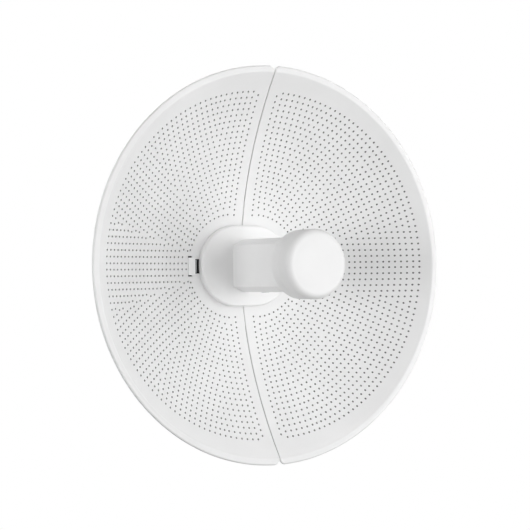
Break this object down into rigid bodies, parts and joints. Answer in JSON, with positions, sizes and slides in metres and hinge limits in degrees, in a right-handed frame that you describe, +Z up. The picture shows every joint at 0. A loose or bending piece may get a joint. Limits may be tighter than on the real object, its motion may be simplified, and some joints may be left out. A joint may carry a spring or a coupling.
{
  "type": "outdoor wireless bridge",
  "caption": "Point-to-point radio bridge with a perforated split dish, a feed arm that holds the radio, and a tilting pole clamp.",
  "frame": {"origin": "on the axis of the pole that the mount clamps, level with the elevation pivot", "axes": "+Z up along the pole, -Y the way the dish looks, +X to the right of a person who looks along +Y at the dish's front"},
  "size_m": [0.372, 0.3013, 0.3718],
  "materials": {
    "board": "solder mask",
    "brass": "plain",
    "button": "fine texture",
    "cast_alloy": "fine cast, satin",
    "coax": "tinned braid",
    "dark_plastic": "fine texture",
    "housing": "satin white moulded plastic",
    "jack_shell": "plain",
    "latch": "satin white moulded plastic",
    "lens": "translucent",
    "pad": "soft",
    "reflector_coat": "off-white powder coat on aluminium sheet",
    "rubber": "matt",
    "spacer": "natural nylon",
    "spreader": "plain extruded",
    "stainless": "plain stainless",
    "tinned": "tinned sheet",
    "yoke_coat": "light grey coat on steel sheet"
  },
  "bodies": {
    "bracket": {"pole_bracket": "cast_alloy", "clamp_bolts": "stainless", "pivot_bolts": "stainless", "pivot_washers": "stainless", "pivot_nuts": "stainless", "lock_bolts": "stainless", "lock_washers": "stainless", "lock_nuts": "stainless"},
    "jaw": {"clamp_jaw": "cast_alloy", "clamp_washers": "stainless", "clamp_nuts": "stainless"},
    "head": {"mount_yoke": "yoke_coat", "yoke_screws": "stainless", "ground_screw": "brass", "ground_washer": "brass", "hub_backplate": "housing", "plate_screws": "stainless", "hub_screws": "stainless", "reflector_left": "reflector_coat", "reflector_right": "reflector_coat", "seam_screws": "stainless", "seam_nuts": "stainless", "radio_housing": "housing", "feed_cap": "housing", "cap_seal": "rubber", "feed_disc": "tinned", "feed_spacer": "spacer", "dipole_board": "board", "dipole_holder": "spacer", "coax_leads": "coax", "main_board": "board", "ethernet_jacks": "jack_shell", "shield_cans": "tinned", "thermal_pad": "pad", "heat_spreader": "spreader", "reset_switch": "dark_plastic", "status_lights": "lens", "port_panel": "dark_plastic", "panel_gasket": "rubber", "panel_screws": "stainless"},
    "cover": {"port_cover": "housing", "cable_grommet": "rubber"},
    "left_latch": {"latch_left": "latch"},
    "right_latch": {"latch_right": "latch"},
    "reset": {"reset_button": "button"}
  },
  "joints": [
    {"name": "tilt", "type": "hinge", "parent": "bracket", "child": "head", "pos_m": [0, -0.06, 0], "axis": [1, 0, 0], "range_deg": [-20, 20]},
    {"name": "jaw_slide", "type": "slide", "parent": "bracket", "child": "jaw", "axis": [0, 1, 0], "range_m": [0, 0.01]},
    {"name": "cover_slide", "type": "slide", "parent": "head", "child": "cover", "axis": [0, 0, -1], "range_m": [0, 0.056]},
    {"name": "left_latch_flex", "type": "hinge", "parent": "head", "child": "left_latch", "pos_m": [-0.0576, -0.10325, 0], "axis": [0, 0, 1], "range_deg": [0, 6], "stiffness_Nm_per_rad": 1.5, "springref_deg": -0.57},
    {"name": "right_latch_flex", "type": "hinge", "parent": "head", "child": "right_latch", "pos_m": [0.0576, -0.10325, 0], "axis": [0, 0, -1], "range_deg": [0, 6], "stiffness_Nm_per_rad": 1.5, "springref_deg": -0.57},
    {"name": "reset_press", "type": "slide", "parent": "head", "child": "reset", "axis": [0, 0, 1], "range_m": [0, 0.0007], "stiffness_N_per_m": 800, "springref_m": -0.0005}
  ]
}
